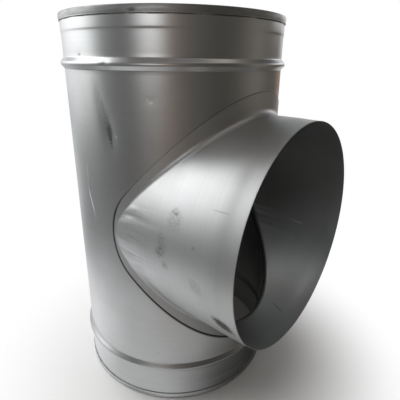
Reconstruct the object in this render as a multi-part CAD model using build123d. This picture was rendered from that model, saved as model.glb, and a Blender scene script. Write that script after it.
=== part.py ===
from build123d import *
import math
import os

# Duct tee of galvanised sheet, in millimetres, standing on one end of its run.
# The run lies on Z from z = 0 upwards, and the branch leaves it along +X at half its height.

# Sheet that both pieces are made of
sheet_thickness = 0.6

# Rolled tube of the run
body_outer_radius = 99.0

# Folded hem and stepped-out band at each end of the run
hem_height = 5.4
hem_gap = 0.2
band_height = 14.3
band_step = 0.3
band_slope_height = 1.6

# Stop bead that is rolled outwards near each end
bead_from_end = 38.0
bead_width = 8.6
bead_height = 3.0
bead_crest_width = 1.8

# Pressed saddle collar of the branch
neck_step_in = 1.8
neck_length = 44.0
neck_root_radius = 6.0
lip_width = 6.0
lip_step_in = 0.4
lip_slope_width = 14.0
flange_reach = 17.8
flange_side_lap = 1.2
flange_aim = 3.0
flange_seat_clearance = 0.02
bead_to_flange = 16.5

# Hole in the tube, with the lap of the flange over it above and below the neck and at its sides
hole_lap = 11.5
hole_side_lap = 0.8
hole_aim = 5.0

# Radii that follow from the sizes above
body_inner_radius = body_outer_radius - sheet_thickness
band_inner_radius = body_inner_radius + band_step
lip_gap_radius = band_inner_radius + sheet_thickness
hem_outer_radius = lip_gap_radius + hem_gap + sheet_thickness
neck_outer_radius = body_outer_radius - neck_step_in
neck_inner_radius = neck_outer_radius - sheet_thickness
lip_outer_radius = neck_outer_radius - lip_step_in
seat_radius = body_outer_radius + flange_seat_clearance

# Heights and reach that follow from the sizes above
flange_half_height = neck_outer_radius + flange_reach
hole_half_height = flange_half_height - hole_lap
run_height = 2 * (bead_from_end + bead_width / 2 + bead_to_flange + flange_half_height)
branch_height = run_height / 2
branch_reach = body_outer_radius + neck_length

# Noses of the flange and of the hole, at the side of the tube
neck_meets_tube = math.sqrt(seat_radius**2 - neck_inner_radius**2)
flange_nose = neck_meets_tube - flange_side_lap
hole_nose = flange_nose + hole_side_lap


def ring(inner_radius, outer_radius, bottom, top):
    """Section of a plain ring round the run, drawn with radius across and height up."""
    size = (outer_radius - inner_radius, top - bottom)
    return Pos(inner_radius, bottom) * Rectangle(*size, align=(Align.MIN, Align.MIN))


def wall_section():
    """Section of the rolled wall from end to end, with its stepped-out bands and its beads."""
    slope_start = band_height - band_slope_height / 2
    slope_end = band_height + band_slope_height / 2
    crest_radius = body_inner_radius + bead_height
    lower = [
        (band_inner_radius, 0),
        (band_inner_radius, slope_start),
        (body_inner_radius, slope_end),
        (body_inner_radius, bead_from_end - bead_width / 2),
        (crest_radius, bead_from_end - bead_crest_width / 2),
        (crest_radius, bead_from_end + bead_crest_width / 2),
        (body_inner_radius, bead_from_end + bead_width / 2),
    ]
    upper = [(radius, run_height - height) for radius, height in reversed(lower)]
    inner_face = lower + upper
    outer_face = [(radius + sheet_thickness, height) for radius, height in reversed(inner_face)]
    return make_face(Polyline(*inner_face, *outer_face, close=True))


def hem_section(end, way):
    """Section of the sheet folded back over the outside of one end, where way is 1 if the lip goes up."""
    crest = sorted((end, end + way * sheet_thickness))
    lip = sorted((end, end + way * hem_height))
    lip_inner_radius = hem_outer_radius - sheet_thickness
    return ring(band_inner_radius, hem_outer_radius, *crest) + ring(lip_inner_radius, hem_outer_radius, *lip)


def make_main_tube():
    """Rolled strip with hems and beads, and the hole that the collar covers."""
    section = wall_section() + hem_section(0, 1) + hem_section(run_height, -1)
    hole = saddle_prism(hole_half_height, hole_aim, hole_nose)
    return revolve(Plane.XZ * section, Axis.Z) - hole


def saddle_prism(half_height, aim, nose):
    """Solid across the whole tube that keeps what lies inside a saddle outline, seen along Y.

    Its two straight edges rise to half_height at the front of the tube, come from a point at aim on the
    axis of the branch, and are joined by one round nose at the side of the tube.
    """
    slope = math.atan2(half_height, body_outer_radius - aim)
    arc_centre = (nose - aim * math.sin(slope)) / (1 - math.sin(slope))
    arc_radius = arc_centre - nose
    touch_x = arc_centre - arc_radius * math.sin(slope)
    touch_z = arc_radius * math.cos(slope)
    far_x = branch_reach + neck_length
    far_z = (far_x - aim) * math.tan(slope)
    arc = ThreePointArc((touch_x, -touch_z), (nose, 0), (touch_x, touch_z))
    sides = Polyline((touch_x, touch_z), (far_x, far_z), (far_x, -far_z), (touch_x, -touch_z))
    outline = make_face(Plane.XZ * (arc + sides))
    return Pos(0, 0, branch_height) * extrude(outline, 2 * body_outer_radius, both=True)


def neck_bar(inset, reach):
    """Round bar along the branch, drawn in at the lip of the mouth, and smaller all over by inset."""
    neck_radius = neck_outer_radius - inset
    lip_radius = lip_outer_radius - inset
    slope_end = branch_reach - lip_width
    slope_start = slope_end - lip_slope_width
    side = Polyline((0, neck_radius), (slope_start, neck_radius), (slope_end, lip_radius), (reach, lip_radius))
    ends = Polyline((reach, lip_radius), (reach, 0), (0, 0), (0, neck_radius))
    return Pos(0, 0, branch_height) * revolve(Plane.XZ * make_face(side + ends), Axis.X)


def tee_block(run_radius, inset, reach, root_radius):
    """Solid tee of two round bars with a rounded root where they cross."""
    run = Cylinder(run_radius, run_height, align=(Align.CENTER, Align.CENTER, Align.MIN))
    block = run + neck_bar(inset, reach)
    crossing = [edge for edge in block.edges() if edge.geom_type not in (GeomType.LINE, GeomType.CIRCLE)]
    return fillet(crossing, root_radius)


def make_branch_collar():
    """Pressed collar: a flange that lies on the tube, a rounded root and a neck with a plain cut edge."""
    outside = tee_block(seat_radius + sheet_thickness, 0, branch_reach, neck_root_radius)
    inside = tee_block(
        seat_radius, sheet_thickness, branch_reach + neck_length, neck_root_radius + sheet_thickness
    )
    return (outside - inside) & saddle_prism(flange_half_height, flange_aim, flange_nose)


os.makedirs("parts", exist_ok=True)
export_step(make_main_tube(), "parts/main_tube.step")
export_step(make_branch_collar(), "parts/branch_collar.step")
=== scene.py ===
import math
from collections import namedtuple

import bpy
import numpy as np
from bpy.props import FloatProperty, FloatVectorProperty, IntProperty, PointerProperty
from mathutils import Matrix, Vector


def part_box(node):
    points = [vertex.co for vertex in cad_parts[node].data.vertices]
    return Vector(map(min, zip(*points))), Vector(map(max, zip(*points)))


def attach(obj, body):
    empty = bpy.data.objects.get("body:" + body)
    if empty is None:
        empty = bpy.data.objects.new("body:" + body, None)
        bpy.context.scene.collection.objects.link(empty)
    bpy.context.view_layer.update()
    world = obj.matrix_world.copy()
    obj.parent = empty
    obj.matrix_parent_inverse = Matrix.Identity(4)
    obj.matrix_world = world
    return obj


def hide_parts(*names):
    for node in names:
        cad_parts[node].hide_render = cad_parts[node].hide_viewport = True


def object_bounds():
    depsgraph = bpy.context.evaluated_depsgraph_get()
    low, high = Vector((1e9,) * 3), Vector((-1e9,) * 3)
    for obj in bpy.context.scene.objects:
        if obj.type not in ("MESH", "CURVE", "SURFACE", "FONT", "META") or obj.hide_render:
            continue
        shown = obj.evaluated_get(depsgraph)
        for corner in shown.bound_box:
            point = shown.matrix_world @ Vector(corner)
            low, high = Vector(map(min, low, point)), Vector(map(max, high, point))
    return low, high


bl_info = {
    "name": "Duct tee",
    "version": (1, 0, 0),
    "blender": (4, 5, 0),
    "location": "View3D > Sidebar > Duct tee",
    "description": "Galvanised duct tee with hemmed, beaded ends and a pressed saddle collar",
    "category": "Object",
}

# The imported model, in metres: the run stands on Z and the branch leaves it along +X
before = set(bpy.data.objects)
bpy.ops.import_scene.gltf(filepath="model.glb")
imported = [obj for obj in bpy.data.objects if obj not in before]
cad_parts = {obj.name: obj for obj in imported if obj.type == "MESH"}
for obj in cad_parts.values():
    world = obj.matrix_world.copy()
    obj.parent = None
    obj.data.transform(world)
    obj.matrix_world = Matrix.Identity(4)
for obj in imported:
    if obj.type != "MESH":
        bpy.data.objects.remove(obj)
CAD_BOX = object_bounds()
TUBE_LOW, TUBE_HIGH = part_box("main_tube")
COLLAR_LOW, COLLAR_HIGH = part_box("branch_collar")
MM = 0.001

# Marks on the sheet: the angle round the piece and the turn from its length in degrees, sizes in millimetres,
# and the outer or the inner face. A scratch of negative strength is dark.
Dent = namedtuple("Dent", "angle along width length depth turn")
Smudge = namedtuple("Smudge", "angle along width length turn strength face", defaults=("outer",))
Scratch = namedtuple("Scratch", "angle along length turn strength face", defaults=("outer",))

# Smudges weaker than this are rubbed into specks, and all scratches are equally wide
FAINT_SMUDGE = 0.39
SCRATCH_HALF_WIDTH = 0.65

TUBE_DENTS = (
    Dent(-77.3, 261, 6.0, 17, 0.9, -9),
    Dent(-81.5, 284, 4.0, 10, 0.25, -8),
    Dent(-56.5, 285, 2.4, 2.4, 0.12, 0),
    Dent(-56.5, 54.8, 2.6, 2.2, 0.15, 0),
    Dent(-75.5, 309, 1.6, 2.5, 0.7, 30),
    Dent(-92.5, 316.2, 2.0, 1.6, 0.3, 0),
    Dent(140, 120, 6.0, 11, 0.6, 25),
    Dent(175, 236, 5.0, 4.0, 0.4, 0),
)

# The first four smudges and those at -92.5 and -56.5 degrees lie on dents and darken them
TUBE_SMUDGES = (
    Smudge(-77.5, 262, 4.6, 14, -8, 0.40),
    Smudge(-76.9, 260, 3.0, 9, -7, 0.45),
    Smudge(-76.3, 251, 1.6, 6, -4, 0.35),
    Smudge(-80.0, 280, 2.2, 12, -19, 0.25),
    Smudge(-92.5, 316, 2.5, 1.4, 0, 0.5),
    Smudge(-56.5, 54, 3.0, 1.6, 0, 0.12),
    Smudge(-62.5, 344.0, 3.5, 1.6, 0, 0.6),
    Smudge(-70, 3, 26, 1.6, 0, 0.4),
    Smudge(-104, 4, 3, 2, 0, 0.5),
)

TUBE_SCRATCHES = (
    Scratch(-95.4, 222, 22, 4, 0.4),
    Scratch(-94.0, 196.5, 32, -17, 0.95),
    Scratch(-73.3, 257, 3, 0, 0.7),
    Scratch(-56.2, 283.6, 4, 62, 0.6),
    Scratch(-57.6, 285.4, 3, -25, 0.45),
    Scratch(-56.0, 53.2, 2.4, 70, 0.35),
)

COLLAR_SMUDGES = (
    Smudge(-84, 77, 11, 6, 12, 0.24),
    Smudge(-88.5, 75, 6, 5, -20, 0.34),
    Smudge(-94, 80, 4, 4, 30, 0.26),
    Smudge(-68, 86, 4, 4, 25, 0.30),
    Smudge(-72, 87, 9, 9, 20, 0.20),
    Smudge(-98, 110, 9, 6, 40, 0.14),
    Smudge(-80, 108, 2, 2.5, 0, 0.28),
    Smudge(-115.6, 129.7, 7.5, 12, -38, 0.80),
    Smudge(-115.6, 129.7, 5.0, 9, -38, 0.40),
    Smudge(168, 120, 1.5, 9, 20, 0.4, "inner"),
)

COLLAR_SCRATCHES = (
    Scratch(-62, 123.5, 17, 2, -0.32),
    Scratch(108.5, 99.5, 20, 5, 0.5, "inner"),
)

# Press wrinkles run out along the neck from its root: the angle round the branch in degrees, then the width,
# how far they run and their height in millimetres. All of them rise over the same stretch past the root.
Wrinkle = namedtuple("Wrinkle", "angle width run height")
WRINKLE_START = 3 * MM
WRINKLE_RISE = 6 * MM
WRINKLE_CREST = 8 * MM
WRINKLE_FADE = 0.6
WRINKLES = (
    Wrinkle(-73.5, 1.6, 14, 0.45),
    Wrinkle(-77.5, 1.7, 26, -0.70),
    Wrinkle(-82.0, 2.0, 16, 0.45),
    Wrinkle(-86.5, 1.9, 18, -0.45),
    Wrinkle(-91.0, 2.0, 15, 0.40),
    Wrinkle(-96.5, 2.2, 20, -0.45),
    Wrinkle(-101.0, 2.0, 18, 0.45),
    Wrinkle(-106.0, 2.2, 16, -0.35),
    Wrinkle(75.0, 2.0, 16, 0.40),
    Wrinkle(93.0, 2.2, 18, -0.45),
    Wrinkle(104.5, 1.8, 26, 0.60),
    Wrinkle(110.5, 1.8, 22, -0.60),
    Wrinkle(116.5, 1.8, 20, 0.50),
)

# Bends of the rolled strip, and how the free edge of a hem leans in against the wall
ARC_DEGREES = 14
BEAD_CREST_BEND = 2.0 * MM
BEAD_FOOT_BEND = 1.8 * MM
BAND_BEND = 2.0 * MM
LIP_BEND = 1.5 * MM
LIP_GAP = 0.01 * MM
LIP_LEAN_START = 0.6

# How fast the wall's waviness sets in past the bands, what welds together, and which edges stay sharp
WAVY_WITHIN = 8 * MM
WELD_DISTANCE = 0.005 * MM
SHARP_ANGLE = math.radians(50)

# Rows of points on each stretch of the collar, from its mouth to the edge of its flange
LIP_ROWS = 4
SLOPE_ROWS = 7
NECK_ROWS = 34
ROOT_ROWS = 15
FLANGE_ROWS = 9


def length_property(name, description, default):
    """A size in metres that a user may change."""
    return FloatProperty(
        name=name, description=description, default=default, min=0.0, precision=5,
        unit="LENGTH", subtype="DISTANCE",
    )


def colour_property(name, description, default):
    """A plain colour that a user may change."""
    return FloatVectorProperty(
        name=name, description=description, default=default, min=0.0, max=1.0, size=3, subtype="COLOR",
    )


def share_property(name, description, default):
    """A share from 0 to 1 that a user may change."""
    return FloatProperty(
        name=name, description=description, default=default, min=0.0, max=1.0, subtype="FACTOR",
    )


def angle_property(name, description, degrees):
    """An angle that a user may change."""
    return FloatProperty(
        name=name, description=description, default=math.radians(degrees), unit="ROTATION", subtype="ANGLE",
    )


class TubeSettings(bpy.types.PropertyGroup):
    """Sizes of the rolled tube of the run"""

    sheet: length_property("Sheet", "Thickness of the sheet of both pieces", 0.6 * MM)
    height: length_property("Height", "Length of the run from rim to rim", TUBE_HIGH.z - TUBE_LOW.z)
    radius: length_property("Radius", "Outer radius of the plain wall", 99.0 * MM)
    hem_radius: length_property("Hem radius", "Outer radius of the folded hem", 100.1 * MM)
    hem_height: length_property("Hem height", "How far the fold reaches down from the rim", 5.4 * MM)
    band_height: length_property("Band height", "Height of the stepped-out band at each end", 14.3 * MM)
    band_slope: length_property("Band slope", "Height over which the band steps in", 1.6 * MM)
    band_step: length_property("Band step", "How far the band stands out", 0.3 * MM)
    bead_from_end: length_property("Bead from end", "Middle of the stop bead from the rim", 38.0 * MM)
    bead_width: length_property("Bead width", "Width of the bead at its foot", 8.6 * MM)
    bead_crest: length_property("Bead crest", "Width of the bead's crest", 1.8 * MM)
    bead_height: length_property("Bead height", "How far the bead stands out", 3.0 * MM)
    row_spacing: length_property("Row spacing", "Longest face along the sheet", 3.4 * MM)
    columns: IntProperty(name="Columns", description="Faces round the tube", default=256, min=48)
    hole_columns: IntProperty(
        name="Hole columns", description="Those of them at the hole", default=106, min=16,
    )


class CollarSettings(bpy.types.PropertyGroup):
    """Sizes of the pressed saddle collar"""

    reach: length_property("Reach", "Mouth of the branch from the run's axis", COLLAR_HIGH.x)
    radius: length_property("Radius", "Outer radius of the neck", 97.2 * MM)
    lip_step: length_property("Lip step", "How far the lip is drawn in", 0.4 * MM)
    lip_width: length_property("Lip width", "Width of the drawn-in lip", 6.0 * MM)
    lip_slope: length_property("Lip slope", "Length over which the lip is drawn in", 14.0 * MM)
    root_radius: length_property("Root radius", "Rounding between the neck and the flange", 6.0 * MM)
    seat: length_property("Seat clearance", "Gap between the flange and the tube", 0.02 * MM)
    side_lap: length_property("Side lap", "How far the flange reaches past the neck at its sides", 1.2 * MM)
    aim: length_property("Aim", "Where the flange's straight edges meet, past the run's axis", 3.0 * MM)
    hole_lap: length_property(
        "Hole lap", "How far the flange reaches past the hole above and below", 11.5 * MM,
    )
    hole_side_lap: length_property(
        "Hole side lap", "How far the flange reaches past the hole's nose", 0.8 * MM,
    )
    hole_aim: length_property(
        "Hole aim", "Where the hole's straight edges meet, past the run's axis", 5.0 * MM,
    )
    columns: IntProperty(name="Columns", description="Faces round the neck", default=360, min=48)


class FinishSettings(bpy.types.PropertyGroup):
    """Colours of the galvanised sheet"""

    zinc: colour_property("Zinc", "Clean zinc coat", (0.60, 0.61, 0.615))
    dull_zinc: colour_property("Dull zinc", "Zinc that has been handled", (0.50, 0.505, 0.505))
    scuff: colour_property("Scuff", "Dark rubbed marks", (0.10, 0.10, 0.095))
    scratch: colour_property("Scratch", "Fresh bright scratches", (0.86, 0.86, 0.85))
    # This colour also paints shade and shadow in gaps, under the hem lips, at the hole, at the root and on
    # the lower bead
    grime_and_shade: colour_property("Grime", "Dirt in seams and hems", (0.045, 0.043, 0.04))
    # The inside's darker, cooler colour is partly a duller face and partly painted shade inside the pieces
    inner: colour_property(
        "Inside", "How much the dull inner face keeps of the zinc's colour", (0.81, 0.83, 0.825),
    )
    rolled: share_property("Rolled", "Roughness of the rolled tube", 0.30)
    pressed: share_property("Pressed", "Roughness of the pressed collar", 0.42)


class StageSettings(bpy.types.PropertyGroup):
    """Camera, floor and light"""

    camera_place: FloatVectorProperty(
        name="Camera place", description="Where the camera stands", default=(0.25019, -0.25951, 0.31296),
        size=3, unit="LENGTH", subtype="TRANSLATION",
    )
    camera_yaw: angle_property("Yaw", "Turn of the view from straight along +Y", 40.03)
    camera_pitch: angle_property("Pitch", "How far the view looks down", 20.035)
    camera_roll: angle_property("Roll", "Lean of the camera", 0.655)
    lens: FloatProperty(name="Lens", description="Focal length", default=32.10, unit="CAMERA")
    floor: colour_property("Floor", "Pale floor", (0.80, 0.80, 0.80))
    lamp: FloatProperty(
        name="Lamp", description="Power of the lamp over the floor", default=9.0, unit="POWER",
    )


class NodeValue:
    """One output of a node. Python arithmetic on it adds Math nodes to its tree."""

    def __init__(self, nodes, socket):
        self.nodes = nodes
        self.socket = socket

    def out(self, name):
        """Another output of the same node."""
        return NodeValue(self.nodes, self.socket.node.outputs[name])

    def __add__(self, other):
        return self.nodes.math("ADD", self, other)

    def __radd__(self, other):
        return self.nodes.math("ADD", other, self)

    def __sub__(self, other):
        return self.nodes.math("SUBTRACT", self, other)

    def __rsub__(self, other):
        return self.nodes.math("SUBTRACT", other, self)

    def __mul__(self, other):
        return self.nodes.math("MULTIPLY", self, other)

    def __rmul__(self, other):
        return self.nodes.math("MULTIPLY", other, self)

    def __truediv__(self, other):
        return self.nodes.math("DIVIDE", self, other)

    def __rtruediv__(self, other):
        return self.nodes.math("DIVIDE", other, self)

    def __gt__(self, other):
        return self.nodes.math("GREATER_THAN", self, other)

    def __abs__(self):
        return self.nodes.math("ABSOLUTE", self)


class Nodes:
    """Adds nodes to one shader or geometry tree."""

    def __init__(self, tree):
        self.tree = tree
        tree.nodes.clear()

    def make(self, kind, settings=None, sockets=None):
        """A node of that type, with its settings made first and then the values or links of its sockets."""
        node = self.tree.nodes.new(kind)
        for name, value in (settings or {}).items():
            if name == "stops":
                self.set_stops(node.color_ramp, value)
            else:
                setattr(node, name, value)
        for key, value in (sockets or {}).items():
            for item in value if isinstance(value, list) else [value]:
                if isinstance(item, NodeValue):
                    self.tree.links.new(item.socket, node.inputs[key])
                else:
                    node.inputs[key].default_value = item
        return NodeValue(self, node.outputs[0]) if node.outputs else node

    def set_stops(self, ramp, stops):
        """Colours of a ramp as pairs of position and grey or colour."""
        while len(ramp.elements) < len(stops):
            ramp.elements.new(1.0)
        for element, (position, colour) in zip(ramp.elements, stops):
            element.position = position
            element.color = (*colour, 1.0) if isinstance(colour, tuple) else (colour, colour, colour, 1.0)

    def math(self, operation, *values):
        """A Math node on one or more values."""
        return self.make("ShaderNodeMath", {"operation": operation}, dict(enumerate(values)))

    def step(self, value, low, high):
        """Smooth rise from 0 where value is low to 1 where it is high."""
        return self.make(
            "ShaderNodeMapRange", {"interpolation_type": "SMOOTHSTEP"},
            {"Value": value, "From Min": low, "From Max": high},
        )

    def fall(self, value, low, high):
        """Smooth fall from 1 where value is low to 0 where it is high."""
        return 1 - self.step(value, low, high)

    def between(self, value, rise, fall):
        """1 between two stretches, over which it rises and falls smoothly."""
        return self.step(value, *rise) * self.fall(value, *fall)

    def distance(self, x, y):
        """Length of a line with those two parts."""
        return self.math("SQRT", x * x + y * y)

    def vector(self, x, y, z):
        """A vector of three values."""
        return self.make("ShaderNodeCombineXYZ", None, {"X": x, "Y": y, "Z": z})

    def split(self, vector):
        """The three values of a vector."""
        parts = self.make("ShaderNodeSeparateXYZ", None, {0: vector})
        return parts.out("X"), parts.out("Y"), parts.out("Z")

    def noise(self, vector, scale, detail=2.0, roughness=0.5):
        """Soft noise about 0.5."""
        return self.make(
            "ShaderNodeTexNoise", None,
            {"Vector": vector, "Scale": scale, "Detail": detail, "Roughness": roughness},
        )

    def tint(self, factor, first, second, blend="MIX"):
        """A colour that goes from the first to the second."""
        mix = self.make("ShaderNodeMix", {"data_type": "RGBA", "blend_type": blend})
        node = mix.socket.node
        colours = [s for s in node.inputs if s.type == "RGBA"]
        for socket, value in ((node.inputs[0], factor), (colours[0], first), (colours[1], second)):
            if isinstance(value, NodeValue):
                self.tree.links.new(value.socket, socket)
            else:
                socket.default_value = value if isinstance(value, float) else (*value, 1.0)
        return NodeValue(self, next(s for s in node.outputs if s.type == "RGBA"))

    def scaled(self, colour, share):
        """A colour times one value."""
        return self.tint(1.0, colour, self.vector(share, share, share), "MULTIPLY")


# Outline of the saddle


class SaddleOutline:
    """Outline of the flange or of the hole seen along Y: straight edges joined by a round nose."""

    def __init__(self, slope, aim, nose):
        self.slope = slope
        self.angle = math.atan(slope)
        self.apex = aim
        self.nose_x = nose
        sine = math.sin(self.angle)
        self.nose_centre = (nose - aim * sine) / (1 - sine)
        self.nose_radius = self.nose_centre - nose
        self.touch_x = self.nose_centre - self.nose_radius * sine

    def half_height(self, x):
        """Half the height of the outline at x."""
        if x > self.touch_x:
            return (x - self.apex) * self.slope
        return math.sqrt(max(self.nose_radius**2 - (x - self.nose_centre) ** 2, 0.0))


def saddle_outlines(tube, collar):
    """Outlines of the flange and of the hole under it."""
    seat_radius = tube.radius + collar.seat
    slope = (COLLAR_HIGH.z - COLLAR_LOW.z) / 2 / (seat_radius + tube.sheet - collar.aim)
    hole_slope = (slope * (tube.radius - collar.aim) - collar.hole_lap) / (tube.radius - collar.hole_aim)
    nose = math.sqrt(seat_radius**2 - (collar.radius - tube.sheet) ** 2) - collar.side_lap
    flange = SaddleOutline(slope, collar.aim, nose)
    return flange, SaddleOutline(hole_slope, collar.hole_aim, nose + collar.hole_side_lap)


# Sheet paths and meshes


def rounded_path(corners, spacing):
    """Points along a sheet from corners of radius, height and bend radius, with long stretches divided."""
    points = [np.array(corners[0][:2])]
    for before, corner, after in zip(corners, corners[1:], corners[2:]):
        here = np.array(corner[:2])
        back = np.array(before[:2]) - here
        ahead = np.array(after[:2]) - here
        back = back / np.linalg.norm(back)
        ahead = ahead / np.linalg.norm(ahead)
        turn = math.pi - math.acos(np.clip(back @ ahead, -1.0, 1.0))
        cut = corner[2] * math.tan(turn / 2)
        middle = here + (back + ahead) / np.linalg.norm(back + ahead) * corner[2] / math.cos(turn / 2)
        start = here + back * cut - middle
        end = here + ahead * cut - middle
        steps = max(2, round(math.degrees(turn) / ARC_DEGREES))
        arc = [middle + swung(start, end, turn, share) for share in np.linspace(0.0, 1.0, steps + 1)]
        points.extend(divided(points[-1], arc[0], spacing))
        points.extend(arc[1:])
    points.extend(divided(points[-1], np.array(corners[-1][:2]), spacing))
    return points


def swung(start, end, turn, share):
    """Arm that has swung that share of the turn from start to end."""
    return (math.sin((1 - share) * turn) * start + math.sin(share * turn) * end) / math.sin(turn)


def divided(start, end, spacing):
    """Points after start up to end, no further apart than the spacing."""
    steps = max(1, math.ceil(np.linalg.norm(end - start) / spacing))
    return [start + (end - start) * k / steps for k in range(1, steps + 1)]


def half_strip_path(tube):
    """Middle line of the strip from the free edge of its lower hem to half the height of the run."""
    half_sheet = tube.sheet / 2
    wall = tube.radius - half_sheet
    band = wall + tube.band_step
    lip = tube.hem_radius - half_sheet
    fold = (lip - band) / 2
    pressed_lip = band + tube.sheet + LIP_GAP
    foot = tube.bead_width / 2
    crest = tube.bead_crest / 2
    bead = tube.bead_from_end
    slope = tube.band_slope / 2
    corners = [
        (pressed_lip, tube.hem_height, 0),
        (lip, tube.hem_height * LIP_LEAN_START, LIP_BEND),
        (lip, half_sheet, fold * 0.999),
        (band, half_sheet, fold * 0.999),
        (band, tube.band_height - slope, BAND_BEND),
        (wall, tube.band_height + slope, BAND_BEND),
        (wall, bead - foot, BEAD_FOOT_BEND),
        (wall + tube.bead_height, bead - crest, BEAD_CREST_BEND),
        (wall + tube.bead_height, bead + crest, BEAD_CREST_BEND),
        (wall, bead + foot, BEAD_FOOT_BEND),
        (wall, tube.height / 2, 0),
    ]
    return rounded_path(corners, tube.row_spacing)


def mesh_object(name, vertices, edges, faces):
    """A new object of that mesh in the scene."""
    mesh = bpy.data.meshes.new(name)
    mesh.from_pydata([tuple(v) for v in vertices], edges, faces)
    mesh.validate()
    return link(name, mesh)


def link(name, data):
    """A new object in the scene at the origin."""
    obj = bpy.data.objects.new(name, data)
    bpy.context.collection.objects.link(obj)
    return obj


def bake(obj):
    """Turns the object's modifiers into its plain mesh."""
    depsgraph = bpy.context.evaluated_depsgraph_get()
    mesh = bpy.data.meshes.new_from_object(obj.evaluated_get(depsgraph), depsgraph=depsgraph)
    obj.modifiers.clear()
    obj.data = mesh


def points_of(mesh):
    """The mesh's points as an array."""
    points = np.zeros(len(mesh.vertices) * 3, np.float32)
    mesh.vertices.foreach_get("co", points)
    return points.reshape(-1, 3).astype(float)


def put_points(mesh, points):
    """Moves the mesh's points."""
    mesh.vertices.foreach_set("co", points.astype(np.float32).ravel())
    mesh.update()


# Attribute that is 1 on the inner face of a piece
INSIDE = "inside"


def sheet_to_solid(obj, thickness, offset):
    """Gives the sheet its thickness and smooth faces with sharp cut edges, and marks its inner face."""
    count = len(obj.data.vertices)
    solid = obj.modifiers.new("sheet", "SOLIDIFY")
    solid.thickness = thickness
    solid.offset = offset
    solid.use_even_offset = True
    solid.use_quality_normals = True
    bake(obj)
    obj.data.shade_smooth()
    obj.data.set_sharp_from_angle(angle=SHARP_ANGLE)
    inner = np.arange(len(obj.data.vertices)) >= count
    inside = obj.data.attributes.new(INSIDE, "FLOAT", "POINT")
    inside.data.foreach_set("value", inner.astype(np.float32))


def as_piece(obj, node, material):
    """Makes the object stand for its CAD node."""
    if not obj.data.polygons:
        raise RuntimeError(f"{obj.name} has no faces")
    obj.data.materials.clear()
    obj.data.materials.append(material)
    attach(obj, "root")
    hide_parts(node)


def roll_waviness(angle, height):
    """Slight unevenness of a rolled wall, inwards only."""
    broad = np.sin(2 * angle + 31 * height + 0.6) + 0.6 * np.sin(3 * angle - 47 * height + 2.1)
    fine = 0.4 * np.sin(7 * angle + 63 * height) + 0.3 * np.sin(11 * angle - 90 * height + 1.0)
    return -0.05 * MM * (2.3 - broad - fine) / 2.3


def dent_depth(angle, height, dents, radius):
    """How far the dents press the wall in at each point."""
    depth = np.zeros_like(angle)
    for dent in dents:
        away = (angle - math.radians(dent.angle) + math.pi) % (2 * math.pi) - math.pi
        around = away * radius
        along = height - dent.along * MM
        turn = math.radians(dent.turn)
        across = (around * math.cos(turn) - along * math.sin(turn)) / (dent.width * MM)
        lengthwise = (around * math.sin(turn) + along * math.cos(turn)) / (dent.length * MM)
        depth += dent.depth * MM * np.exp(-(across**2) - lengthwise**2)
    return depth


# Rolled tube


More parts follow.
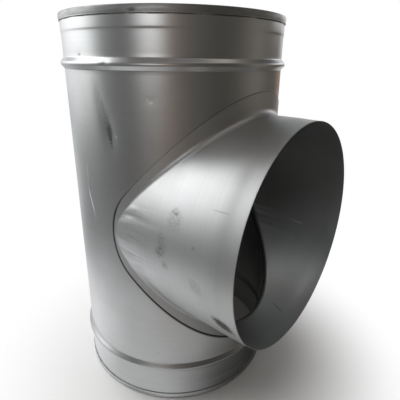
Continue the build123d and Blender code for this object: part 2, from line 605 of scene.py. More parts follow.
def rolled_strip_tree():
    """Geometry Nodes tree that rolls half a strip, opens the hole at its edge and mirrors it."""
    tree = bpy.data.node_groups.new("rolled strip", "GeometryNodeTree")
    wanted = {
        "Strip": "Object", "Columns": "Int", "Hole columns": "Int", "Radius": "Float", "Middle": "Float",
        "Hole start": "Float", "Hole angle": "Float", "Slope": "Float", "Apex": "Float", "Touch": "Float",
        "Nose centre": "Float", "Nose radius": "Float", "Material": "Material",
    }
    tree.interface.new_socket("Geometry", in_out="OUTPUT", socket_type="NodeSocketGeometry")
    for name, kind in wanted.items():
        tree.interface.new_socket(name, in_out="INPUT", socket_type=f"NodeSocket{kind}")
    nodes = Nodes(tree)
    given = nodes.make("NodeGroupInput")
    size = {name: given.out(name) for name in wanted}

    strip = nodes.make("GeometryNodeObjectInfo", None, {"Object": size["Strip"]}).out("Geometry")
    rows = nodes.make("GeometryNodeAttributeDomainSize", {"component": "MESH"}, {0: strip}).out("Point Count")
    grid = nodes.make(
        "GeometryNodeMeshGrid", None,
        {"Size X": 1.0, "Size Y": 1.0, "Vertices X": size["Columns"] + 1, "Vertices Y": rows},
    )
    place_x, place_y, _ = nodes.split(nodes.make("GeometryNodeInputPosition"))
    across = place_x + 0.5
    row = nodes.math("ROUND", (place_y + 0.5) * (rows - 1))

    hole_share = size["Hole columns"] / size["Columns"]
    at_hole = nodes.math("MINIMUM", across, hole_share) / hole_share
    past_hole = nodes.math("MAXIMUM", across - hole_share, 0.0) / (1 - hole_share)
    angle = (2 * at_hole - 1) * size["Hole angle"] + past_hole * (2 * math.pi - 2 * size["Hole angle"])

    sampled = nodes.make(
        "GeometryNodeSampleIndex", {"data_type": "FLOAT_VECTOR", "domain": "POINT"},
        {"Geometry": strip, "Value": nodes.make("GeometryNodeInputPosition"), "Index": row},
    )
    radius, _, height = nodes.split(sampled)

    hole_x = size["Radius"] * nodes.math("COSINE", angle)
    straight = (hole_x - size["Apex"]) * size["Slope"]
    from_nose = hole_x - size["Nose centre"]
    nose_square = size["Nose radius"] * size["Nose radius"] - from_nose * from_nose
    nose = nodes.math("SQRT", nodes.math("MAXIMUM", nose_square, 0.0))
    hole_half_height = nose + (straight - nose) * (hole_x > size["Touch"])
    stretch = 1 - hole_half_height / (size["Middle"] - size["Hole start"])
    below = nodes.math("MINIMUM", height, size["Hole start"])
    above = nodes.math("MAXIMUM", height - size["Hole start"], 0.0)

    place = nodes.vector(
        radius * nodes.math("COSINE", angle), radius * nodes.math("SINE", angle), below + above * stretch,
    )
    lower = nodes.make("GeometryNodeSetPosition", None, {"Geometry": grid, "Position": place})
    turned = nodes.make(
        "GeometryNodeTransform", None,
        {
            "Geometry": lower, "Scale": (1.0, 1.0, -1.0),
            "Translation": nodes.vector(0.0, 0.0, 2 * size["Middle"]),
        },
    )
    upper = nodes.make("GeometryNodeFlipFaces", None, {0: turned})
    both = nodes.make("GeometryNodeJoinGeometry", None, {0: [lower, upper]})
    welded = nodes.make("GeometryNodeMergeByDistance", None, {"Geometry": both, "Distance": WELD_DISTANCE})
    real = nodes.make("GeometryNodeRealizeInstances", None, {0: welded})
    painted = nodes.make("GeometryNodeSetMaterial", None, {"Geometry": real, "Material": size["Material"]})
    nodes.make("NodeGroupOutput", None, {"Geometry": painted})
    return tree


def set_inputs(modifier, values):
    """Sets the inputs of a Geometry Nodes modifier by the identifiers of its sockets."""
    for item in modifier.node_group.interface.items_tree:
        if item.item_type == "SOCKET" and item.in_out == "INPUT":
            modifier[item.identifier] = values[item.name]


class DUCT_OT_main_tube(bpy.types.Operator):
    """Build the rolled tube with its hems, beads, hole and dents"""

    bl_idname = "duct_tee.main_tube"
    bl_label = "Main tube"
    bl_options = {"REGISTER", "UNDO"}

    def execute(self, context):
        tube = context.scene.duct_tube
        collar = context.scene.duct_collar
        hole = saddle_outlines(tube, collar)[1]
        path = half_strip_path(tube)
        strip = mesh_object(
            "strip path", [(r, 0.0, z) for r, z in path], [(k, k + 1) for k in range(len(path) - 1)], [],
        )
        material = tube_finish(context.scene)

        obj = link("main_tube_sheet", bpy.data.meshes.new("main_tube_sheet"))
        roll = obj.modifiers.new("rolled strip", "NODES")
        roll.node_group = rolled_strip_tree()
        set_inputs(roll, {
            "Strip": strip, "Columns": tube.columns, "Hole columns": tube.hole_columns,
            "Radius": tube.radius, "Middle": tube.height / 2,
            "Hole start": tube.bead_from_end + tube.bead_width / 2 + tube.row_spacing,
            "Hole angle": math.acos(hole.nose_x / tube.radius), "Slope": hole.slope, "Apex": hole.apex,
            "Touch": hole.touch_x, "Nose centre": hole.nose_centre, "Nose radius": hole.nose_radius,
            "Material": material,
        })
        bake(obj)
        bpy.data.objects.remove(strip)

        points = points_of(obj.data)
        angle = np.arctan2(points[:, 1], points[:, 0])
        inwards = dent_depth(angle, points[:, 2], TUBE_DENTS, tube.radius)
        rim_distance = np.minimum(points[:, 2], tube.height - points[:, 2])
        free = np.clip((rim_distance - tube.band_height) / WAVY_WITHIN, 0.0, 1.0)
        outwards = free * roll_waviness(angle, points[:, 2]) - inwards
        change = 1 + outwards / np.hypot(points[:, 0], points[:, 1])
        points[:, :2] *= change[:, None]
        put_points(obj.data, points)
        sheet_to_solid(obj, tube.sheet, 0.0)
        as_piece(obj, "main_tube", material)
        return {"FINISHED"}


# Pressed collar


def collar_rows(angle, tube, collar, outline):
    """Points of one line of the collar's outer face, from the mouth to the edge of the flange.

    The angle is measured round the branch from straight up. The root is the path of a ball that rolls
    along the neck and the flange.
    """
    side = math.sin(angle)
    rise = math.cos(angle)
    flange_radius = tube.radius + collar.seat + tube.sheet
    ball = collar.root_radius
    ball_side = (collar.radius + ball) * side
    ball_rise = (collar.radius + ball) * rise
    ball_x = math.sqrt((flange_radius + ball) ** 2 - ball_side**2)
    ball_centre = np.array([ball_x, ball_side, ball_rise])

    lip_end = collar.reach - collar.lip_width
    slope_end = lip_end - collar.lip_slope
    rows = []
    for x in np.linspace(collar.reach, lip_end, LIP_ROWS):
        rows.append((x, collar.radius - collar.lip_step))
    for share in np.linspace(0.0, 1.0, SLOPE_ROWS)[1:]:
        eased = share * share * (3 - 2 * share)
        rows.append((lip_end + (slope_end - lip_end) * share, collar.radius - collar.lip_step * (1 - eased)))
    for x in np.linspace(slope_end, ball_x, NECK_ROWS)[1:]:
        rows.append((x, collar.radius))
    points = [np.array([x, radius * side, radius * rise]) for x, radius in rows]

    to_neck = np.array([0.0, -side, -rise])
    to_tube = np.array([-ball_x, -ball_side, 0.0]) / (flange_radius + ball)
    turn = math.acos(to_neck @ to_tube)
    for share in np.linspace(0.0, 1.0, ROOT_ROWS)[1:]:
        points.append(ball_centre + ball * swung(to_neck, to_tube, turn, share))

    start = points[-1]
    start_angle = math.atan2(start[1], start[0])
    end_x, end_rise = flange_edge(angle, flange_radius, outline)
    end_angle = math.copysign(math.acos(end_x / flange_radius), side)
    for share in np.linspace(0.0, 1.0, FLANGE_ROWS)[1:]:
        around = start_angle + (end_angle - start_angle) * share
        height = start[2] + (end_rise - start[2]) * share
        points.append(np.array([flange_radius * math.cos(around), flange_radius * math.sin(around), height]))
    return points


def flange_edge(angle, flange_radius, outline):
    """Where the flange's edge lies on a line at that angle round the branch, as x and rise."""
    side = abs(math.sin(angle))
    rise = math.cos(angle)
    low = outline.nose_x
    high = flange_radius
    for _ in range(60):
        x = (low + high) / 2
        edge_side = math.sqrt(max(flange_radius**2 - x * x, 0.0))
        if edge_side * abs(rise) > outline.half_height(x) * side:
            low = x
        else:
            high = x
    return x, math.copysign(outline.half_height(x), rise)


class DUCT_OT_branch_collar(bpy.types.Operator):
    """Build the pressed saddle collar with its flange, rolled root, neck and press wrinkles"""

    bl_idname = "duct_tee.branch_collar"
    bl_label = "Branch collar"
    bl_options = {"REGISTER", "UNDO"}

    def execute(self, context):
        tube = context.scene.duct_tube
        collar = context.scene.duct_collar
        outline = saddle_outlines(tube, collar)[0]
        angles = [2 * math.pi * (k + 0.5) / collar.columns for k in range(collar.columns)]
        lines = np.array([collar_rows(angle, tube, collar, outline) for angle in angles])
        columns, rows, _ = lines.shape
        points = lines.reshape(-1, 3)
        faces = []
        for column in range(columns):
            after = (column + 1) % columns
            for row in range(rows - 1):
                faces.append((
                    column * rows + row, column * rows + row + 1, after * rows + row + 1, after * rows + row,
                ))

        points = self.wrinkled(points, tube, collar)
        points[:, 2] += tube.height / 2
        obj = mesh_object("branch_collar_sheet", points, [], faces)
        middle = obj.data.polygons[len(faces) // 4]
        outwards = Vector((0.0, middle.center.y, middle.center.z - tube.height / 2))
        if middle.normal.dot(outwards) < 0:
            obj.data.flip_normals()
        sheet_to_solid(obj, tube.sheet, -1.0)
        as_piece(obj, "branch_collar", collar_finish(context.scene))
        return {"FINISHED"}

    def wrinkled(self, points, tube, collar):
        """The collar's points with its press wrinkles, which fade out along the neck."""
        angle = np.arctan2(points[:, 1], points[:, 2])
        root = np.sqrt(np.maximum(tube.radius**2 - points[:, 1] ** 2, 0.0))
        past_root = points[:, 0] - root
        lift = np.zeros(len(points))
        for wrinkle in WRINKLES:
            away = (angle - math.radians(wrinkle.angle)) * collar.radius / (wrinkle.width * MM)
            rise = np.clip((past_root - WRINKLE_START) / WRINKLE_RISE, 0.0, 1.0)
            run_out = np.maximum(past_root - WRINKLE_CREST, 0.0)
            fade = np.exp(-run_out / (wrinkle.run * MM * WRINKLE_FADE))
            lift += wrinkle.height * MM * np.exp(-(away**2)) * rise * fade
        neck = np.hypot(points[:, 1], points[:, 2])
        changed = points.copy()
        changed[:, 1:] *= (1 + lift / neck)[:, None]
        return changed


# Galvanised finish


def new_material(name):
    """A material, its nodes, and the place on the object."""
    material = bpy.data.materials.new(name)
    material.use_nodes = True
    nodes = Nodes(material.node_tree)
    return material, nodes, nodes.make("ShaderNodeTexCoord").out("Object")


def mark_mask(nodes, spot, mark, length, width, ragged):
    """1 on one mark of the sheet and 0 away from it, with a ragged edge."""
    around, along, radius = spot
    turn = math.radians(mark.turn)
    beside = around - math.radians(mark.angle) * radius
    past = along - mark.along * MM
    across = (beside * math.cos(turn) - past * math.sin(turn)) / (width * MM)
    lengthwise = (beside * math.sin(turn) + past * math.cos(turn)) / (length * MM)
    return nodes.fall(nodes.distance(across, lengthwise) + ragged, 0.35, 1.15)


def galvanised(name, settings, roughness, coordinates, marks, dirt_and_shade):
    """Zinc-coated sheet.

    coordinates gives around and along on the surface, its radius, what is inside and where the sheet was
    sheared, and dirt_and_shade gives a mask of dirty marks and of painted shade and shadow.
    """
    material, nodes, place = new_material(name)
    inner = nodes.make("ShaderNodeAttribute", {"attribute_name": INSIDE}).out("Fac")
    around, along, radius, inside, sheared = coordinates(nodes, place, inner)

    clouds = nodes.noise(place, 14.0, 3.0, 0.55)
    flow = nodes.noise(nodes.vector(around * 3, along * 420, 0.0), 1.0, 3.0, 0.6)
    ragged = (nodes.noise(place, 420.0, 4.0, 0.7) - 0.5) * 0.9
    rubbed = nodes.step(nodes.noise(place, 620.0, 3.0, 0.6), 0.40, 0.60) * 1.1 + 0.35

    spot = (around, along, radius)
    smudges, scratches = marks
    face = {"outer": 1 - inside, "inner": inside}
    scuffed = 0.0
    for smudge in smudges:
        mask = mark_mask(nodes, spot, smudge, smudge.length, smudge.width, ragged)
        if smudge.strength < FAINT_SMUDGE:
            mask = mask * rubbed
        scuffed = mask * face[smudge.face] * smudge.strength + scuffed
    scuffed = nodes.math("MINIMUM", scuffed, 0.93)
    bright = 0.0
    dark_line = 0.0
    for scratch in scratches:
        mask = mark_mask(nodes, spot, scratch, scratch.length / 2, SCRATCH_HALF_WIDTH, ragged * 0.15)
        mask = mask * face[scratch.face]
        if scratch.strength > 0:
            bright = mask * scratch.strength + bright
        else:
            dark_line = mask * -scratch.strength + dark_line
    # Mask of dirty marks, with painted shade and shadow in gaps, folds and under lips
    grime_and_shade = dirt_and_shade(nodes, place, ragged, inside)

    worn = nodes.step(clouds * 0.75 + flow * 0.25, 0.36, 0.66)
    colour = nodes.tint(worn * 0.7, settings.zinc[:], settings.dull_zinc[:])
    colour = nodes.scaled(colour, 1 + (flow - 0.5) * 0.05)
    # Duller inner face, also painted shade inside the pieces
    colour = nodes.tint(inside, colour, nodes.tint(1.0, colour, settings.inner[:], "MULTIPLY"))
    layers = (
        (scuffed, settings.scuff),
        (bright, settings.scratch),
        (dark_line, settings.scuff),
        (grime_and_shade, settings.grime_and_shade),
    )
    for cover, tone in layers:
        colour = nodes.tint(cover, colour, tone[:])

    rough = roughness + (clouds - 0.5) * 0.12 + (flow - 0.5) * 0.04
    rough = rough + scuffed * 0.2 + grime_and_shade * 0.35 + sheared * 0.6
    relief = clouds * 6.0 - bright * 0.8
    bump = nodes.make("ShaderNodeBump", None, {"Strength": 0.10, "Distance": 0.12 * MM, "Height": relief})
    metal = nodes.make(
        "ShaderNodeBsdfPrincipled", None,
        {"Base Color": colour, "Metallic": 1 - bright * 0.7, "Roughness": rough, "Normal": bump},
    )
    nodes.make("ShaderNodeOutputMaterial", None, {"Surface": metal})
    return material


def outline_gap(nodes, outline, x, rise):
    """Distance outwards from a saddle outline, seen along Y."""
    line = rise * math.cos(outline.angle) - (x - outline.apex) * math.sin(outline.angle)
    from_nose = x - outline.nose_centre
    arc = nodes.distance(from_nose, rise) - outline.nose_radius
    edge_place = (x - outline.apex) * math.cos(outline.angle) + rise * math.sin(outline.angle)
    touch_place = (outline.touch_x - outline.apex) / math.cos(outline.angle)
    return arc + (line - arc) * (edge_place > touch_place)


def tube_finish(scene):
    """The tube's finish: dusty hems, a dark joint with painted shadow along the collar's flange, and painted
    shade under the hem lips, at its hole and on its lower bead.
    """
    tube = scene.duct_tube
    middle = tube.height / 2
    flange, hole = saddle_outlines(tube, scene.duct_collar)

    def coordinates(nodes, place, inner):
        x, y, z = nodes.split(place)
        on_lip = nodes.distance(x, y) > tube.hem_radius - tube.sheet / 4
        from_edge = abs(middle - tube.hem_height - abs(z - middle))
        sheared = nodes.fall(from_edge, 0.04 * MM, 0.08 * MM)
        around = nodes.math("ARCTAN2", y, x) * tube.radius
        return around, z, tube.radius, inner * (1 - on_lip), sheared

    def dirt_and_shade(nodes, place, ragged, inside):
        x, y, z = nodes.split(place)
        rise = abs(z - middle)
        gap = outline_gap(nodes, flange, x, rise)
        hole_gap = outline_gap(nodes, hole, x, rise)
        outside = 1 - inside
        # Dark seam line along the edge of the collar's flange: a dark joint with painted shadow of the gap,
        # wider and darker below the middle
        below = nodes.fall(z - middle, 15 * MM, 55 * MM)
        width = below * (2.3 * MM) + 1.0 * MM
        seam = nodes.fall((abs(gap) + ragged * (0.25 * MM)) / width, 0.5, 1.0) * (x > 0.0) * outside
        seam = seam * (below * 0.55 + 0.40)
        # Painted shade along the hole's cut edge
        cut_edge = nodes.fall(abs(hole_gap), 0.5 * MM, 1.4 * MM) * (x > 0.0) * 0.75

        rim = middle - rise
        upper = z > middle
        on_hem = nodes.fall(rim, tube.hem_height - 0.2 * MM, tube.hem_height + 0.2 * MM) * outside
        streaks = nodes.noise(nodes.vector(x * 60, y * 60, z * 500), 1.0, 3.0, 0.6)
        # Streaky dust on both hems, and painted shade on the front of the upper hem
        in_front = nodes.step(x, -95 * MM, -50 * MM) * nodes.fall(y, 10 * MM, 45 * MM)
        hem_dust_and_shade = on_hem * (upper * in_front * 0.36 + 0.04 + (streaks - 0.5) * 0.6)
        # Painted shadow just below the lip of each hem, in streaks, stronger on the upper hem
        under_hem = nodes.fall(abs(rim - tube.hem_height - 0.4 * MM), 0.2 * MM, 0.8 * MM) * outside
        under_hem = under_hem * nodes.step(streaks + upper * 0.14, 0.46, 0.64) * (upper * 0.65 + 0.10)
        # Painted shade on the upper flank of the lower bead
        ledge = abs(z - tube.bead_from_end - 2.6 * MM)
        bead_flank_shade = nodes.fall(ledge, 1.0 * MM, 2.4 * MM) * outside * 0.14
        hems = nodes.math("MAXIMUM", hem_dust_and_shade, 0.0) + under_hem
        return nodes.math("MINIMUM", seam + cut_edge + hems + bead_flank_shade, 0.95)

    finish = scene.duct_finish
    marks = (TUBE_SMUDGES, TUBE_SCRATCHES)
    return galvanised("galvanised tube", finish, finish.rolled, coordinates, marks, dirt_and_shade)


def collar_finish(scene):
    """The collar's finish: a dirty edge at its mouth, painted shade inside its root and under it, and painted
    streaks of shade along its press wrinkles.
    """
    tube = scene.duct_tube
    collar = scene.duct_collar
    middle = tube.height / 2

    def coordinates(nodes, place, inner):
        x, y, z = nodes.split(place)
        sheared = x > collar.reach - 0.02 * MM
        around = nodes.math("ARCTAN2", y, z - middle) * collar.radius
        return around, x, collar.radius, inner, sheared

    def dirt_and_shade(nodes, place, ragged, inside):
        x, y, z = nodes.split(place)
        edge = nodes.fall(collar.reach - x + ragged * (0.8 * MM), 0.1 * MM, 1.2 * MM) * 0.15
        from_tube = nodes.distance(x, y) - tube.radius
        # Painted shade on the inner face where the root folds over the tube, darkest against it
        fold = inside * nodes.fall(from_tube, 0.4 * MM, 4.0 * MM) * 0.85
        # Painted shade along the lower side of the root, below the branch's middle
        below = nodes.step(middle - z, 20 * MM, 60 * MM) * (1 - inside)
        root = below * nodes.fall(abs(from_tube - 4 * MM), 1.5 * MM, 6 * MM) * 0.38
        # Painted shade in streaks near the root at the nose, standing in for the shading of the press
        # wrinkles
        angle = nodes.math("ARCTAN2", y, z - middle)
        streak_noise = nodes.noise(nodes.vector(angle * 70, x * 30, 0.0), 1.0, 2.0, 0.6)
        near_root = nodes.between(from_tube, (1.0 * MM, 6 * MM), (6 * MM, 24 * MM))
        at_nose = nodes.fall(abs(middle - 10 * MM - z), 25 * MM, 60 * MM)
        wrinkle_streak_shade = nodes.step(streak_noise, 0.50, 0.66) * near_root * at_nose * (1 - inside) * 0.20
        return edge + fold + root + wrinkle_streak_shade

    finish = scene.duct_finish
    marks = (COLLAR_SMUDGES, COLLAR_SCRATCHES)
    return galvanised("galvanised collar", finish, finish.pressed, coordinates, marks, dirt_and_shade)


# Stage

# Glowing surroundings with painted light, which the metal reflects: a round wall with a soft window on the
# left, dark on the right, and a floor that is paler close to the tee, with the tee's painted shadow on its
# right. Tones stand at degrees round Z from +X, and lengths are in metres.
WALL_DISTANCE = 3.0
WALL_HEIGHT = 5.0
WALL_FRONT = -50.0
WALL_SPREAD = 180.0
WALL_STEPS = 96
DISC_POINTS = 64
FLOOR_RADIUS = 6.0
FLOOR_GAP = 0.05 * MM
TONED_FLOOR_LEVEL = 0.5 * MM
WALL_TONES = (
    (-230, (0.45, 0.45, 0.455)),
    (-200, (0.45, 0.455, 0.46)),
    (-186, (0.75, 0.76, 0.77)),
    (-176, (0.60, 0.61, 0.62)),
    (-158, (0.34, 0.345, 0.345)),
    (-126, (0.226, 0.237, 0.233)),
    (-104, (0.175, 0.173, 0.172)),
    (-88, (0.125, 0.122, 0.121)),
    (-66, (0.25, 0.24, 0.225)),
    (-54, (0.25, 0.19, 0.155)),
    (-36, (0.125, 0.116, 0.104)),
    (-4, (0.066, 0.062, 0.054)),
    (16, (0.085, 0.078, 0.067)),
    (44, (0.25, 0.23, 0.20)),
    (62, (0.11, 0.104, 0.092)),
    (80, (0.13, 0.105, 0.09)),
    (88, (0.08, 0.07, 0.065)),
    (94, 0.95),
    (112, 0.95),
    (130, (0.45, 0.45, 0.455)),
)
WINDOW_LIGHT = 1.95
CEILING_WINDOW_LIGHT = 1.5
GAP_LIGHT = 2.1
GLINT_LIGHT = 1.6
FAR_FLOOR_LIGHT = 0.8
HIGH_LIGHT = 0.6
HIGH_LIGHT_TINT = (1.0, 0.87, 0.77)
# Painted light and shadow of the floor near the tee: lit from the left, in the tee's shadow on the right
NEAR_FLOOR_LIGHT = 1.3
NEAR_FLOOR_TONES = (
    (-230, 0.82),
    (-150, (0.77, 0.77, 0.785)),
    (-130, (0.81, 0.81, 0.825)),
    (-110, (0.72, 0.72, 0.725)),
    (-90, 0.57),
    (-70, 0.52),
    (-50, (0.46, 0.46, 0.455)),
    (-30, (0.39, 0.385, 0.38)),
    (-12, (0.22, 0.216, 0.21)),
    (10, (0.10, 0.10, 0.095)),
    (56, 0.03),
    (88, 0.12),
    (110, 0.42),
    (130, 0.80),
)

# Lamp over the floor, and the camera's sensor in millimetres with the shift of its view
LAMP_SIZE = 1.0
LAMP_PLACE = Vector((-0.8, -0.2, 0.7))
SENSOR_WIDTH = 36.0
VIEW_SHIFT = (0.0019, -0.025)


def glow_material(name, colour_of, cover_of=None):
    """A tone that needs no light, from a function for its colour and one for where it covers."""
    material, nodes, surface_place = new_material(name)
    place = nodes.split(surface_place)
    surface = nodes.make("ShaderNodeEmission", None, {"Color": colour_of(nodes, *place)})
    if cover_of:
        clear = nodes.make("ShaderNodeBsdfTransparent")
        surface = nodes.make("ShaderNodeMixShader", None, {0: cover_of(nodes, *place), 1: clear, 2: surface})
    nodes.make("ShaderNodeOutputMaterial", None, {"Surface": surface})
    return material


def wall_turn(nodes, x, y):
    """Degrees round Z from the middle of the wall."""
    front = math.radians(WALL_FRONT)
    ahead = x * math.cos(front) + y * math.sin(front)
    aside = y * math.cos(front) - x * math.sin(front)
    return nodes.math("ARCTAN2", aside, ahead) * (180 / math.pi)


def tones_round(nodes, turn, tones):
    """Tones from left to right round the tee."""
    stops = [((angle - WALL_FRONT + WALL_SPREAD) / (2 * WALL_SPREAD), tone) for angle, tone in tones]
    return nodes.make(
        "ShaderNodeValToRGB", {"stops": [(min(max(p, 0.0), 1.0), tone) for p, tone in stops]},
        {"Fac": (turn + WALL_SPREAD) / (2 * WALL_SPREAD)},
    )


def lit(nodes, tones, light, tint=(1.0, 1.0, 1.0)):
    """Tones with light of that tint added."""
    return nodes.tint(1.0, tones, nodes.vector(*(light * part for part in tint)), "ADD")


def wall_colour(nodes, x, y, z):
    """Tone of the wall, with a soft window on the left and a narrow gap of light in front."""
    turn = wall_turn(nodes, x, y)
    window_edge = nodes.step(z, 0.4, 1.5) * 8.0 - nodes.step(z, 2.0, 4.4) * 33.0
    window = nodes.fall(turn - window_edge, -90.0, -68.0) * nodes.step(z, -0.7, 1.1)
    window = window * (WINDOW_LIGHT + nodes.step(z, 1.5, 3.0) * 1.25 - nodes.step(z, 3.6, 5.0))
    window = window * (0.80 + nodes.step(turn, -122.0, -100.0) * 0.28)
    window = window * (0.25 + nodes.step(turn, -142.0, -112.0) * 0.75)
    gap = nodes.between(turn, (-37.0, -22.0), (-15.0, -2.0)) * nodes.between(z, (0.05, 0.8), (0.8, 1.6))
    glint = nodes.between(turn, (114.0, 126.0), (140.0, 150.0)) * nodes.between(z, (0.5, 0.8), (1.2, 1.8))
    tones = tones_round(nodes, turn, WALL_TONES)
    low_right = nodes.step(turn, 136.0, 141.0) * nodes.fall(z, 0.15, 0.45)
    tones = nodes.tint(low_right, tones, (0.42, 0.27, 0.18))
    dim = nodes.step(z, 0.9, 1.9) * nodes.between(turn, (-52.0, -38.0), (60.0, 90.0)) * 0.55
    tones = nodes.tint(dim, tones, (0.02, 0.02, 0.02))
    tones = lit(nodes, tones, window + gap * GAP_LIGHT + glint * GLINT_LIGHT)
    tones = lit(nodes, tones, nodes.step(z, 4.0, 5.0) * high_light(nodes, turn), HIGH_LIGHT_TINT)
    behind = nodes.step(abs(turn), 122.0, 130.0) * nodes.step(z, 0.9, 1.6)
    dark = nodes.tint(nodes.step(abs(turn), 138.0, 174.0), (0.055, 0.068, 0.076), (0.44, 0.455, 0.46))
    return nodes.tint(behind, tones, dark)


def high_light(nodes, turn):
    """Light that falls on the top of the wall and the edge of the ceiling in front."""
    return nodes.between(turn, (-64.0, -46.0), (90.0, 126.0)) * HIGH_LIGHT


def floor_tone(nodes, x, y, z):
    """Tone of the floor: painted light near the tee on its left and its painted shadow on its right, then the
    wall's tone, lit far out by the window.
    """
    turn = wall_turn(nodes, x, y)
    away = nodes.distance(x, y)
    glow = nodes.step(away, 0.7, 3.0) * nodes.fall(turn, -110.0, -66.0)
    glow = glow * nodes.fall(abs(turn), 118.0, 128.0)
    far = lit(nodes, tones_round(nodes, turn, WALL_TONES), glow * FAR_FLOOR_LIGHT)
    shade = nodes.between(turn, (-10.0, 35.0), (110.0, 165.0)) * 0.78
    shade = shade * nodes.fall(away, 0.11, 0.18)
    near = nodes.scaled(tones_round(nodes, turn, NEAR_FLOOR_TONES), NEAR_FLOOR_LIGHT * (1 - shade))
    pale_end = 0.44 - nodes.step(turn, -40.0, 5.0) * 0.14
    return nodes.tint(nodes.step(away, 0.15, pale_end), near, far)


def floor_tone_cover(nodes, x, y, z):
    """The toned floor starts where the tee stands, and leaves the floor inside the run as it is."""
    return nodes.step(nodes.distance(x, y), 0.1005, 0.102)


def ceiling_colour(nodes, x, y, z):
    """Tone of the ceiling: paler over the tee, warm to the left, and lit towards the wall."""
    tones = nodes.tint(nodes.step(x, 0.0, -1.6), (0.155, 0.16, 0.165), (0.105, 0.095, 0.082))
    away = nodes.distance(x, y)
    turn = wall_turn(nodes, x, y)
    window = nodes.step(away, 2.3, 2.9) * nodes.fall(turn, -116.0, -101.0) * CEILING_WINDOW_LIGHT
    tones = nodes.tint(nodes.step(away, 0.5, 1.3), (0.27, 0.235, 0.21), tones)
    tones = lit(nodes, tones, nodes.step(away, 1.8, 3.0) * high_light(nodes, turn), HIGH_LIGHT_TINT)
    return lit(nodes, tones, window)


def surrounding(name, vertices, faces, material):
    """A surface that the camera doesn't see."""
    card = mesh_object(name, vertices, [], faces)
    card.data.materials.append(material)
    card.visible_camera = False
    return card


def disc(radius, level):
    """Points of a round card at that level."""
    turns = [2 * math.pi * k / DISC_POINTS for k in range(DISC_POINTS)]
    return [(radius * math.cos(a), radius * math.sin(a), level) for a in turns]


def build_surroundings():
    """The wall, the ceiling over it, and the tones of the floor that only reflections show."""
    shares = [2 * k / WALL_STEPS - 1 for k in range(WALL_STEPS + 1)]
    turns = [math.radians(WALL_FRONT + WALL_SPREAD * share) for share in shares]
    foot = [(WALL_DISTANCE * math.cos(a), WALL_DISTANCE * math.sin(a)) for a in turns]
    vertices = [(x, y, level) for x, y in foot for level in (0.0, WALL_HEIGHT)]
    faces = [(2 * k, 2 * k + 1, 2 * k + 3, 2 * k + 2) for k in range(WALL_STEPS)]
    surrounding("wall", vertices, faces, glow_material("wall", wall_colour))

    whole = [tuple(range(DISC_POINTS))]
    surrounding("ceiling", disc(WALL_DISTANCE, WALL_HEIGHT), whole, glow_material("ceiling", ceiling_colour))
    toned = glow_material("toned floor", floor_tone, floor_tone_cover)
    card = surrounding("toned floor", disc(WALL_DISTANCE, TONED_FLOOR_LEVEL), whole, toned)
    card.visible_diffuse = False
    card.visible_shadow = False


def floor_material(settings):
    """Pale floor that turns white away from the tee."""
    material, nodes, place = new_material("pale floor")
    x, y, _ = nodes.split(place)
    away = nodes.distance(x - 0.03, y)
    matt = nodes.make("ShaderNodeBsdfDiffuse", None, {"Color": (*settings.floor, 1.0)})
    white = nodes.make("ShaderNodeEmission", None, {"Color": (1.0, 1.0, 1.0, 1.0), "Strength": 1.0})
    outside_run = nodes.step(nodes.distance(x, y), 0.099, 0.102)
    fade = nodes.step(away, 0.09, 0.24) * outside_run
    mixed = nodes.make("ShaderNodeMixShader", None, {0: fade, 1: matt, 2: white})
    nodes.make("ShaderNodeOutputMaterial", None, {"Surface": mixed})
    return material


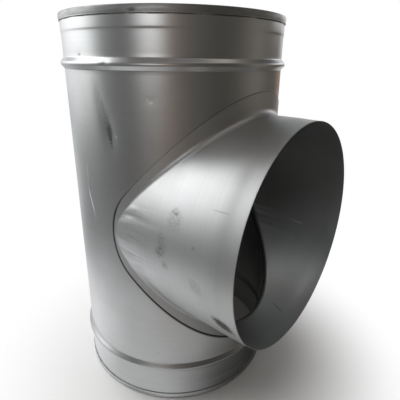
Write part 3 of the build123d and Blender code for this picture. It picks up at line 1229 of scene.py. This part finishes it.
class DUCT_OT_stage(bpy.types.Operator):
    """Build the floor, the light, the surroundings and the camera"""

    bl_idname = "duct_tee.stage"
    bl_label = "Stage"
    bl_options = {"REGISTER", "UNDO"}

    def execute(self, context):
        settings = context.scene.duct_stage
        self.make_floor(settings)
        self.make_light(context.scene, settings)
        build_surroundings()
        self.make_camera(context.scene, settings)
        context.scene.view_settings.view_transform = "Standard"
        return {"FINISHED"}

    def make_floor(self, settings):
        """A round floor, just under the rim that the tee stands on."""
        points = disc(FLOOR_RADIUS, CAD_BOX[0].z - FLOOR_GAP)
        floor = mesh_object("floor", points, [], [tuple(range(DISC_POINTS))])
        floor.data.materials.append(floor_material(settings))

    def make_light(self, scene, settings):
        """White background, and a soft lamp over the floor."""
        world = bpy.data.worlds.new("white studio")
        world.use_nodes = True
        nodes = Nodes(world.node_tree)
        white = nodes.make("ShaderNodeBackground", None, {"Color": (1.0, 1.0, 1.0, 1.0), "Strength": 1.0})
        nodes.make("ShaderNodeOutputWorld", None, {"Surface": white})
        scene.world = world

        lamp = bpy.data.lights.new("floor lamp", "AREA")
        lamp.size = LAMP_SIZE
        lamp.energy = settings.lamp
        lamp_object = link("floor lamp", lamp)
        lamp_object.visible_camera = False
        lamp_object.visible_glossy = False
        lamp_object.location = LAMP_PLACE
        lamp_object.rotation_euler = (-LAMP_PLACE).to_track_quat("-Z", "Y").to_euler()

    def make_camera(self, scene, settings):
        """The photograph's camera."""
        data = bpy.data.cameras.new("camera")
        data.sensor_width = SENSOR_WIDTH
        data.lens = settings.lens
        data.shift_x, data.shift_y = VIEW_SHIFT
        data.clip_start = 0.01
        camera = link("camera", data)
        turn = Matrix.Rotation(settings.camera_yaw, 4, "Z")
        lean = Matrix.Rotation(math.pi / 2 - settings.camera_pitch, 4, "X")
        roll = Matrix.Rotation(settings.camera_roll, 4, "Z")
        camera.matrix_world = Matrix.Translation(settings.camera_place) @ turn @ lean @ roll
        scene.camera = camera


class DUCT_PT_tee(bpy.types.Panel):
    """Pieces of the duct tee"""

    bl_idname = "DUCT_PT_tee"
    bl_label = "Duct tee"
    bl_space_type = "VIEW_3D"
    bl_region_type = "UI"
    bl_category = "Duct tee"

    def draw(self, context):
        layout = self.layout
        for operator in OPERATORS:
            layout.operator(operator.bl_idname)
        for name in GROUPS:
            group = getattr(context.scene, name)
            box = layout.box()
            for prop in group.__annotations__:
                box.prop(group, prop)


GROUPS = {
    "duct_tube": TubeSettings,
    "duct_collar": CollarSettings,
    "duct_finish": FinishSettings,
    "duct_stage": StageSettings,
}
OPERATORS = (DUCT_OT_main_tube, DUCT_OT_branch_collar, DUCT_OT_stage)


def register():
    """Registers the settings, the operators and the panel."""
    for name, group in GROUPS.items():
        bpy.utils.register_class(group)
        setattr(bpy.types.Scene, name, PointerProperty(type=group))
    for operator in OPERATORS:
        bpy.utils.register_class(operator)
    bpy.utils.register_class(DUCT_PT_tee)


def unregister():
    """Takes them away again."""
    bpy.utils.unregister_class(DUCT_PT_tee)
    for operator in reversed(OPERATORS):
        bpy.utils.unregister_class(operator)
    for name, group in GROUPS.items():
        delattr(bpy.types.Scene, name)
        bpy.utils.unregister_class(group)


def main():
    """Builds the tee and its stage."""
    register()
    bpy.ops.duct_tee.main_tube()
    bpy.ops.duct_tee.branch_collar()
    bpy.ops.duct_tee.stage()


if __name__ == "__main__":
    main()
